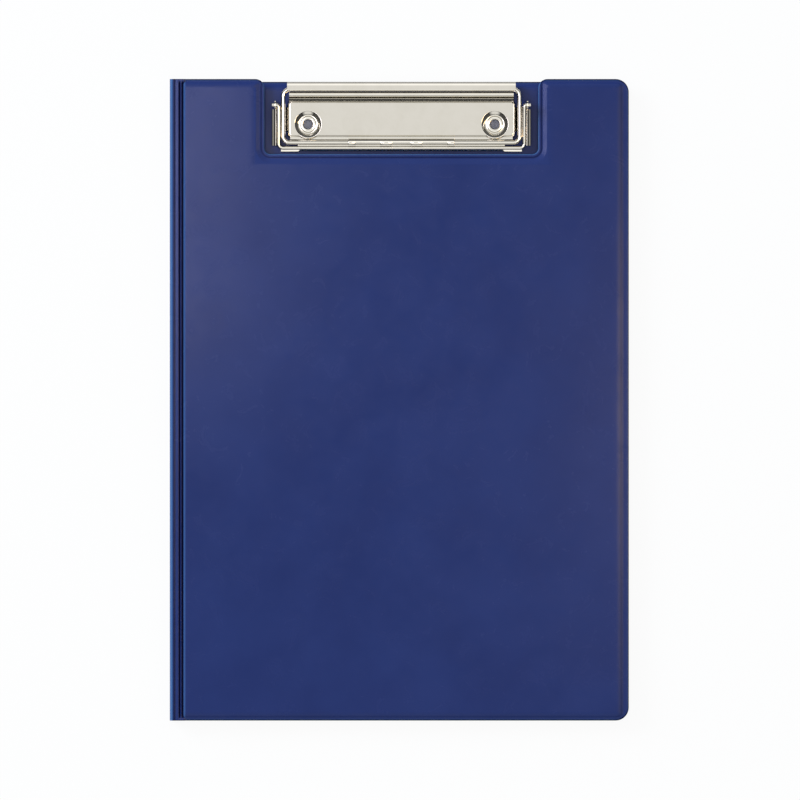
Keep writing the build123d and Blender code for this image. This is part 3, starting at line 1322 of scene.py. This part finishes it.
@dataclass
class Jaw:
    """The outer wire bow that hangs in the ears and presses the paper."""

    plan: Plan
    finishes: Finishes
    diameter: float = 1.8
    half_width: float = 61.3
    pin_reach: float = 64.5
    pivot: Point = (147.0, 7.5)
    bar: Point = (125.7, 4.35)
    corner_radius: float = 2.2
    pin_radius: float = 1.0

    def build(self) -> None:
        """Builds and dresses the bow."""
        middle = self.plan.clip_middle
        down = Vector((0, self.bar[0] - self.pivot[0], self.bar[1] - self.pivot[1]))
        side = Run(down.length - self.pin_radius - self.corner_radius)
        ahead = tuple(down.normalized())
        back = tuple(-down.normalized())
        pin = Run(self.pin_reach - self.half_width - self.pin_radius)
        moves = (
            pin, Turn(self.pin_radius, ahead, 6), side, Turn(self.corner_radius, (1, 0, 0)),
            Run(2 * (self.half_width - self.corner_radius)), Turn(self.corner_radius, back), side,
            Turn(self.pin_radius, (1, 0, 0), 6), pin,
        )
        start = Vector((middle - self.pin_reach, *self.pivot))
        bm = WireBender(self.diameter).bend(start, Vector((1, 0, 0)), moves, False)
        dress(as_piece(bm, "jaw_bent_wire", self.finishes.wire), "nickel_wire", "jaw", ["jaw_wire"])


# ---------------------------------------------------------------- clip base plate


# Share of the tray's height, by distance from its outline.
TRAY_WALL: tuple[Point, ...] = (
    (0.08, 0.15), (0.45, 0.60), (0.62, 0.735), (0.80, 0.80), (1.18, 0.895), (1.32, 0.945), (1.45, 0.978),
    (1.55, 0.995), (1.62, 1.0), (1.8, 1.0),
)
# Radius and height along a dimple, from its collar inwards.
DIMPLE_LINE: tuple[Point, ...] = (
    (7.65, 4.50), (7.45, 4.72), (7.25, 4.95), (7.05, 5.10), (6.85, 5.19), (6.70, 5.18), (6.57, 5.12),
    (6.45, 5.03), (6.33, 4.93), (5.05, 3.79), (4.92, 3.68), (4.80, 3.60), (4.62, 3.53), (4.40, 3.50),
    (3.20, 3.50),
)
# Y and height along the front lip and along the strip ahead of the rear roll.
FRONT_LIP: tuple[Point, ...] = (
    (131.95, 4.85), (131.75, 4.80), (131.45, 4.66), (131.15, 4.61), (130.9, 4.60), (130.4, 4.60),
    (130.1, 4.57), (129.9, 4.48), (129.8, 4.28),
)
REAR_STRIP: tuple[Point, ...] = (
    (149.0, 4.25), (149.3, 4.06), (149.6, 3.9), (151.1, 3.2), (151.4, 3.1), (151.9, 3.0),
)
# Y and height along the floor under the jaw, and the places across where its shape changes.
FLOOR_PROFILE: tuple[Point, ...] = (
    (132.0, 3.3), (127.4, 3.3), (125.4, 3.3), (125.0, 3.27), (124.6, 3.2), (124.0, 3.08), (123.75, 3.0),
    (123.62, 2.86),
)
FLOOR_STATIONS: tuple[float, ...] = (
    -60.1, -59.9, -58.2, -57.4, -51.6, -50.6, 50.6, 51.6, 57.4, 58.2, 59.9, 60.1,
)
# Where the knuckle's windows and ends are, across.
KNUCKLE_STATIONS: tuple[float, ...] = (-26.5, -26.2, -23.0, -10.5, -4.5, 4.5, 10.5, 23.0, 26.2, 26.5)
# X and height across an ear's wing and over the crest of its wall.
EAR_WING: tuple[Point, ...] = (
    (56.4, 4.6), (56.9, 4.15), (57.4, 3.72), (57.9, 3.36), (58.4, 3.12), (59.0, 3.02), (59.5, 3.08),
    (59.8, 3.2), (60.7, 3.74), (60.9, 3.82), (61.2, 3.82), (61.4, 3.75), (62.5, 3.12),
)
EAR_WALL: tuple[Point, ...] = (
    (62.5, 2.75), (62.5, 5.6), (62.52, 5.8), (62.56, 5.9), (62.62, 5.94), (62.68, 5.93), (62.74, 5.905),
    (63.38, 5.641), (63.44, 5.596), (63.54, 5.506), (63.6, 5.466), (63.68, 5.43), (64.4, 5.145),
    (64.48, 5.105), (64.56, 5.03), (64.6, 4.93),
)


# Distances from the knuckle's middle over which it is cut open.
KNUCKLE_WINDOWS: tuple[Point, ...] = ((0.0, 4.5), (10.5, 23.0))
# The dip between the floor's feet: its half width, its rear and its edge, and a point and the slope of its plane.
DIP_HALF, DIP_REAR, DIP_EDGE = 51.0, 125.5, 124.125
DIP_Y, DIP_Z, DIP_SLOPE = 125.4, 3.42, 0.56


@dataclass
class ClipBase:
    """The pressed steel plate: tray, dimples, front lip, knuckle, rear roll, floor and ears."""

    plan: Plan
    finishes: Finishes
    sheet: float = 0.8
    seat: float = 2.7
    tray_low: Point = (-57.2, 130.55)
    tray_high: Point = (57.2, 149.6)
    tray_top: float = 5.2
    tray_radius: float = 2.3
    dimple_radius: float = 6.75
    tray_sheet: float = 0.35
    dimple_sheet: float = 0.45
    lip_sheet: float = 0.75
    strip_sheet: float = 0.3
    roll_sheet: float = 0.55
    floor_sheet: float = 0.15
    ear_sheet: float = 0.7
    knuckle_radius: float = 1.98
    strip_half: float = 56.0
    roll_place: Point = (152.4, 3.85)
    roll_radius: float = 1.15

    def shift(self, bm: BMesh) -> None:
        """Moves a part that was built about the clip's middle to its place.

        Args:
            bm: The part.
        """
        move(bm, (self.plan.clip_middle, 0, 0))

    def tray(self) -> Object:
        """Presses the raised tray, open at both rivets.

        The cut at the rivets fails on small changes of this mesh, so its rings and its radius
        belong together.

        Returns:
            The tray.
        """
        bm = bmesh.new()
        rectangle(bm, self.tray_low, self.tray_high, 0)
        for x in (self.tray_low[0], self.tray_high[0]):
            for y in (self.tray_low[1], self.tray_high[1]):
                round_corner(bm, (x, y), self.tray_radius, 6)
        press_rings(bm, bm.faces[:][0], TRAY_WALL, self.tray_top - self.seat)
        tidy_shell(bm, True)
        thicken(bm, self.tray_sheet)
        move(bm, (0, 0, self.seat))
        self.shift(bm)
        return self.open_at_rivets(as_piece(bm, "tray", self.finishes.plate, 70))

    def open_at_rivets(self, part: Object) -> Object:
        """Cuts a part away where the two dimples go.

        Args:
            part: The tray or the front lip.

        Returns:
            The same part.
        """
        for x in (-RIVET_REACH, RIVET_REACH):
            cut_hole(part, self.plan.clip_middle + x, RIVET_Y, 2 * self.dimple_radius + 0.1)
        return part

    def dimple(self, side: Side) -> Object:
        """Presses one round dimple, whose collar stands over the front lip.

        Args:
            side: Which side of the clip.

        Returns:
            The dimple.
        """
        place = (self.plan.clip_middle + side.value * RIVET_REACH, RIVET_Y)
        bm = turned(DIMPLE_LINE, place, 72, up=True)
        thicken(bm, self.dimple_sheet)
        return as_piece(bm, f"dimple_{side.name.lower()}", self.finishes.plate, 60)

    def strips(self) -> list[Object]:
        """Presses the front lip, the rear roll and the floor, each from its own profile.

        Returns:
            The strips.
        """
        y, z = self.roll_place
        low, half = z - self.roll_radius, self.strip_half
        made = [
            self.open_at_rivets(self.profile_strip("front_lip", FRONT_LIP, half - 0.5, self.lip_sheet)),
            self.profile_strip("rear_strip", REAR_STRIP, half, self.strip_sheet),
        ]
        bm = bmesh.new()
        tube = chain(bm, [(-half, y, low), (half, y, low)])
        revolve(bm, tube, (0, y, z), (1, 0, 0), math.radians(252), 28)
        bmesh.ops.recalc_face_normals(bm, faces=bm.faces)
        thicken(bm, self.roll_sheet)
        self.shift(bm)
        made.append(as_piece(bm, "rear_roll", self.finishes.plate, 60))
        made.append(self.front_floor())
        return made

    def profile_strip(
        self, name: str, profile: Sequence[Point], half_width: float, thickness: float
    ) -> Object:
        """Pulls a profile along X.

        Args:
            name: The strip's name.
            profile: Pairs of Y and height of its upper face.
            half_width: Half the strip's length.
            thickness: The sheet's thickness, below the profile.

        Returns:
            The strip.
        """
        bm = bmesh.new()
        edges = chain(bm, [(-half_width, y, z) for y, z in profile])
        pull(bm, edges, (2 * half_width, 0, 0))
        tidy_shell(bm, True)
        thicken(bm, thickness)
        self.shift(bm)
        return as_piece(bm, name, self.finishes.plate, 60)

    def front_floor(self) -> Object:
        """Presses the plate's front edge, which dips between its two feet.

        Returns:
            The floor.
        """
        bm = bmesh.new()
        place = FLOOR_STATIONS[0]
        edges = chain(bm, [(place, y, z) for y, z in FLOOR_PROFILE])
        for station in FLOOR_STATIONS[1:]:
            edges = pull(bm, edges, (station - place, 0, 0))
            place = station
        edge = FLOOR_PROFILE[-1][0]
        for vert in bm.verts:
            if abs(vert.co.x) < DIP_HALF and vert.co.y < DIP_REAR:
                # The dip ends where it meets the back's lining, so its last rows stand close together.
                vert.co.y = max(vert.co.y, DIP_EDGE + 0.1 * (vert.co.y - edge))
                vert.co.z = DIP_Z - DIP_SLOPE * (DIP_Y - vert.co.y)
        inner = [v for v in bm.verts if abs(v.co.x) > 57.3 and v.co.y > 127.0]
        bmesh.ops.delete(bm, geom=inner, context="VERTS")
        tidy_shell(bm, True)
        thicken(bm, self.floor_sheet)
        self.rest_on_lining(bm)
        self.shift(bm)
        return as_piece(bm, "front_floor", self.finishes.plate, 60)

    def rest_on_lining(self, bm: BMesh) -> None:
        """Lifts whatever would lie inside the back's lining up to its surface.

        Args:
            bm: The part.
        """
        for vert in bm.verts:
            vert.co.z = max(vert.co.z, self.seat)

    def knuckle(self) -> Object:
        """Curls the plate's front round the pivot bar and cuts its windows.

        Returns:
            The knuckle.
        """
        y, z = KNUCKLE_PIVOT
        bm = bmesh.new()
        edges = chain(bm, [(x, y, z - self.knuckle_radius) for x in KNUCKLE_STATIONS])
        revolve(bm, edges, (0, y, z), (1, 0, 0), math.radians(230), 46)
        bmesh.ops.remove_doubles(bm, verts=bm.verts, dist=1e-4)
        windows = []
        for face in bm.faces:
            centre = face.calc_center_median()
            across = any(low <= abs(centre.x) < high for low, high in KNUCKLE_WINDOWS)
            if centre.y < y - 0.02 and centre.z > z and across:
                windows.append(face)
        bmesh.ops.delete(bm, geom=windows, context="FACES")
        bmesh.ops.recalc_face_normals(bm, faces=bm.faces)
        top = max(bm.faces, key=lambda f: f.calc_center_median().z)
        if top.normal.z < 0:
            bmesh.ops.reverse_faces(bm, faces=bm.faces)
        thicken(bm, self.sheet)
        ease(bm, [e for e in bm.edges if e.calc_face_angle(0) > math.radians(70)], 0.14, 2)
        self.shift(bm)
        return as_piece(bm, "knuckle", self.finishes.plate, 50)

    def ear(self, side: Side) -> list[Object]:
        """Bends one ear with its wing, wall and lug.

        Args:
            side: Which side of the clip.

        Returns:
            The ear's parts.
        """
        parts = [
            self.ear_strip("wing", EAR_WING, 134.0, 146.0, side),
            self.ear_strip("wall", EAR_WALL, 126.8, 144.9, side),
        ]
        front, rear, crown = 144.8, 149.2, 9.7
        bm = bmesh.new()
        rectangle(bm, (front, 2.8), (rear, crown), 0)
        for y in (front, rear):
            round_corner(bm, (y, crown), 2.15, 10)
        upright = Matrix(((0, 0, 1, EAR_WALL[0][0]), (1, 0, 0, 0), (0, 1, 0, 0), (0, 0, 0, 1)))
        bmesh.ops.transform(bm, matrix=upright, verts=bm.verts)
        made = bmesh.ops.extrude_face_region(bm, geom=bm.faces[:])["geom"]
        move(bm, (self.sheet, 0, 0), only(BMVert, made))
        bmesh.ops.recalc_face_normals(bm, faces=bm.faces)
        ease(bm, [e for e in bm.edges if e.calc_face_angle(0) > math.radians(70)], 0.18, 3)
        parts.append(self.place_ear(bm, "lug", side))
        return parts

    def ear_strip(
        self, name: str, profile: Sequence[Point], front: float, rear: float, side: Side
    ) -> Object:
        """Pulls an ear's profile along Y.

        Args:
            name: The strip's name.
            profile: Pairs of X and height.
            front: Where it starts.
            rear: Where it ends.
            side: Which side of the clip.

        Returns:
            The strip.
        """
        bm = bmesh.new()
        edges = chain(bm, [(x, front, z) for x, z in profile])
        for step in (0.2, rear - front - 0.4, 0.2):
            edges = pull(bm, edges, (0, step, 0))
        bmesh.ops.recalc_face_normals(bm, faces=bm.faces)
        top = max(bm.faces, key=lambda f: abs(f.normal.z) * f.calc_area())
        if top.normal.z < 0:
            bmesh.ops.reverse_faces(bm, faces=bm.faces)
        thicken(bm, self.ear_sheet)
        self.rest_on_lining(bm)
        return self.place_ear(bm, name, side)

    def place_ear(self, bm: BMesh, name: str, side: Side) -> Object:
        """Mirrors a right-hand ear part where needed and puts it in place.

        Args:
            bm: The part's mesh, on the right-hand side.
            name: Its name.
            side: Which side of the clip it is for.

        Returns:
            The part.
        """
        if side is Side.LEFT:
            bmesh.ops.scale(bm, vec=(-1, 1, 1), verts=bm.verts)
            bmesh.ops.reverse_faces(bm, faces=bm.faces)
        self.shift(bm)
        return as_piece(bm, f"{name}_{side.name.lower()}", self.finishes.plate, 50)

    def build(self) -> None:
        """Builds the plate's parts and joins them into one piece."""
        parts = [self.tray(), self.knuckle(), *self.strips()]
        for side in Side:
            parts += [self.dimple(side), *self.ear(side)]
        joined = bmesh.new()
        for part in parts:
            joined.from_mesh(part.data)
            bpy.data.objects.remove(part)
        bmesh.ops.scale(joined, vec=(1 / MM, 1 / MM, 1 / MM), verts=joined.verts)
        plate = as_piece(joined, "clip_pressed_plate", self.finishes.plate, 50)
        dress(plate, "nickel_plate", "back", ["clip_base_plate"])


@dataclass
class HollowRivet:
    """A hollow rivet with a rolled head, its turned tail and the washer under it."""

    finishes: Finishes
    side: Side
    place: Point
    bore: float = 2.35
    wall: float = 0.6
    head: float = 4.35
    head_level: float = 4.2
    tail_level: float = 0.40

    def build(self) -> None:
        """Builds and dresses the rivet and its washer."""
        name = self.side.name.lower()
        shank = self.bore + self.wall
        top, under = self.head_level, self.head_level - 0.7
        line = (
            (self.bore, self.tail_level + 0.3), (self.bore, top - 0.55), (self.bore + 0.08, top - 0.25),
            (self.bore + 0.3, top - 0.07), (self.bore + 0.62, top), (self.bore + 1.05, top - 0.03),
            (self.head - 0.55, top - 0.16), (self.head - 0.2, top - 0.34), (self.head, under + 0.14),
            (self.head - 0.06, under), (shank, under), (shank, self.tail_level + 0.45),
            (shank + 1.4, self.tail_level + 0.45), (shank + 1.5, self.tail_level + 0.22),
            (shank + 1.3, self.tail_level), (self.bore + 0.3, self.tail_level),
            (self.bore, self.tail_level + 0.3),
        )
        rivet = self.lathe(line, f"rivet_turned_{name}")
        dress(rivet, "nickel_plate", "back", [f"rivet_{name}"])
        ring = ((3.05, 0.86), (3.05, 1.29), (5.4, 1.29), (5.5, 1.2), (5.5, 0.95), (5.4, 0.86), (3.05, 0.86))
        washer = self.lathe(ring, f"rivet_ring_{name}")
        dress(washer, "nickel_plate", "back", [f"rivet_washer_{name}"])

    def lathe(self, line: Sequence[Point], name: str) -> Object:
        """Turns a section about the rivet's upright axis.

        Args:
            line: Pairs of radius and height.
            name: The piece's name.

        Returns:
            The turned piece.
        """
        return as_piece(turned(line, self.place, 56), name, self.finishes.plate, 50)


# ---------------------------------------------------------------- studio


# Direction from straight down (0) to straight up (1), and the level that glossy surfaces mirror there.
ROOM_STOPS: tuple[Point, ...] = (
    (0.0, 0.22), (0.08, 0.16), (0.2, 0.06), (0.64, 0.06), (0.78, 1.38), (0.93, 1.38), (0.985, 1.0),
    (1.0, 0.97),
)


@dataclass
class Studio:
    """Camera straight above, a pale table and plain soft light."""

    frame_width: float = 0.399
    focal: float = 300.0
    sensor: float = 36.0

    def camera(self) -> None:
        """Puts the camera above the folder's middle."""
        data = bpy.data.cameras.new("camera")
        data.lens = self.focal
        data.sensor_width = self.sensor
        data.clip_end = 100
        item = bpy.data.objects.new("camera", data)
        distance = self.frame_width * self.focal / self.sensor
        item.location = (0.0004, -0.0001, 0.006 + distance)
        bpy.context.scene.collection.objects.link(item)
        bpy.context.scene.camera = item

    def lamp(
        self, name: str, place: Sequence[float], aim: Sequence[float], size: Point, power: float, colour: str
    ) -> Object:
        """Adds one soft box.

        Args:
            name: Its name.
            place: Where it stands.
            aim: The point that it looks at.
            size: Its width and height.
            power: Its power in watts.
            colour: Its colour.

        Returns:
            The lamp.
        """
        data = bpy.data.lights.new(name, "AREA")
        data.shape = "RECTANGLE"
        data.size, data.size_y = size
        data.energy = power
        data.color = linear(colour)[:3]
        item = bpy.data.objects.new(name, data)
        item.location = place
        item.rotation_euler = (Vector(aim) - Vector(place)).to_track_quat("-Z", "Y").to_euler()
        item.visible_camera = False
        bpy.context.scene.collection.objects.link(item)
        return item

    def rays(self, tree: NodeTree, kinds: Sequence[str]) -> NodeSocket:
        """Tells whether a ray is of one of a few kinds.

        Args:
            tree: The node tree.
            kinds: Names of the light path's outputs.

        Returns:
            A socket that gives 1 for such rays.
        """
        path = add_node(tree, "ShaderNodeLightPath")
        found = path.outputs[kinds[0]]
        for kind in kinds[1:]:
            both = add_node(
                tree,
                "ShaderNodeMath",
                settings={"operation": "MAXIMUM"},
                links={0: found, 1: path.outputs[kind]},
            )
            found = both.outputs[0]
        return found

    def world(self) -> None:
        """Lights the room plainly, and gives glossy surfaces a soft box overhead to mirror."""
        world = bpy.data.worlds.new("room")
        world.use_nodes = True
        tree = world.node_tree
        tree.nodes.clear()
        towards = add_node(tree, "ShaderNodeTexCoord").outputs["Generated"]
        split_up = add_node(tree, "ShaderNodeSeparateXYZ", links={"Vector": towards})
        ramp = add_node(tree, "ShaderNodeValToRGB", links={"Fac": split_up.outputs["Z"]})
        elements = ramp.color_ramp.elements
        while len(elements) < len(ROOM_STOPS):
            elements.new(0.5)
        # A ramp's colours end at 1, so they are halved here and doubled by the strength.
        for element, (position, level) in zip(elements, ROOM_STOPS):
            element.position = position
            element.color = (level / 2, level / 2, level / 2, 1)
        front = remap(tree, split_up.outputs["Y"], (-0.86, -0.96), (0.0, 0.45))
        adding = {"data_type": "RGBA", "blend_type": "ADD"}
        total = add_node(tree, "ShaderNodeMix", adding, {0: 1.0}, {6: ramp.outputs["Color"], 7: front})
        kind = "ShaderNodeBackground"
        mirrored = add_node(tree, kind, values={"Strength": 2.0}, links={"Color": total.outputs[2]})
        plain = add_node(tree, kind, values={"Color": (1, 1, 1, 1), "Strength": 0.62})
        white = add_node(tree, kind, values={"Color": (1, 1, 1, 1), "Strength": 1.0})
        glossy = self.rays(tree, ("Is Glossy Ray",))
        seen = self.choose(tree, glossy, plain, mirrored)
        direct = self.rays(tree, ("Is Camera Ray", "Is Transmission Ray"))
        full = self.choose(tree, direct, seen, white)
        add_node(tree, "ShaderNodeOutputWorld", links={"Surface": full.outputs[0]})
        world.cycles.sampling_method = "NONE"
        bpy.context.scene.world = world

    @staticmethod
    def choose(tree: NodeTree, share: NodeSocket, first: Node, second: Node) -> Node:
        """Mixes two shaders.

        Args:
            tree: The node tree.
            share: The second shader's share.
            first: The first shader.
            second: The second shader.

        Returns:
            The mix.
        """
        links = {0: share, 1: first.outputs[0], 2: second.outputs[0]}
        return add_node(tree, "ShaderNodeMixShader", links=links)

    def table(self) -> None:
        """Lays a plain white table that still takes a soft shadow."""
        bm = bmesh.new()
        bmesh.ops.create_grid(bm, x_segments=8, y_segments=8, size=3000)
        material, tree = fresh_material("table_matt_white")
        matt = add_node(tree, "ShaderNodeBsdfDiffuse", values={"Color": (0.86, 0.86, 0.86, 1)})
        glow = add_node(tree, "ShaderNodeEmission", values={"Color": (1, 1, 1, 1), "Strength": 1.0})
        seen = self.rays(tree, ("Is Camera Ray", "Is Glossy Ray", "Is Transmission Ray"))
        share = add_node(tree, "ShaderNodeMath", {"operation": "MULTIPLY"}, {1: 0.93}, {0: seen})
        both = self.choose(tree, share.outputs[0], matt, glow)
        add_node(tree, "ShaderNodeOutputMaterial", links={"Surface": both.outputs[0]})
        # A little below the folder, so that the two faces don't coincide.
        move(bm, (0, 0, -0.05))
        floor = as_piece(bm, "table", material)

    def build(self) -> None:
        """Sets up the view, the light, the room and the table."""
        scene = bpy.context.scene
        scene.view_settings.view_transform = "Standard"
        self.camera()
        self.world()
        self.table()
        key = self.lamp("soft_box_left", (-3.0, 1.75, 1.2), (0, 0, 0), (2.0, 1.3), 187.0, "#DCEFFF")
        key.visible_glossy = False
        # The other two only show as reflections.
        spot = (-0.22, 0.152)
        above = self.lamp("soft_box_above", (*spot, 0.6), (*spot, 0), (0.24, 0.26), 1.2, "#F9F1FF")
        above.visible_diffuse = False
        right = self.lamp("soft_box_right", (0.63, 0.0, 0.9), (0.1, 0, 0), (0.2, 1.0), 4.2, "#FFDDA8")
        right.visible_diffuse = False
        LOG.info("studio: camera, world, table and three soft boxes")


def main() -> None:
    """Builds the clipboard's sub-assemblies in order and puts them in the studio."""
    logging.basicConfig(level=logging.INFO, format="%(name)s %(message)s")
    Studio().build()
    finishes = Finishes(
        skin=WeldedPvc().build(),
        lining=WeldedPvc(name="pvc_lining_navy", colour="#1B2B62", mottle="#213168", roughness=0.38).build(),
        plate=NickelPlate().build(),
        wire=NickelPlate(name="nickel_plated_drawn_wire", roughness=0.05, stretch=0.05).build(),
        board=Greyboard().build(),
    )
    plan = Plan.from_frame()
    places = {side: (plan.clip_middle + side.value * RIVET_REACH, RIVET_Y) for side in Side}
    FrontCover(plan, finishes).build()
    BackPanel(plan, finishes, (places[Side.LEFT], places[Side.RIGHT])).build()
    SoftSpine(finishes).build()
    ClipBase(plan, finishes).build()
    Lever(plan, finishes).build()
    Jaw(plan, finishes).build()
    for side in Side:
        HollowRivet(finishes, side, places[side]).build()


if __name__ == "__main__":
    main()
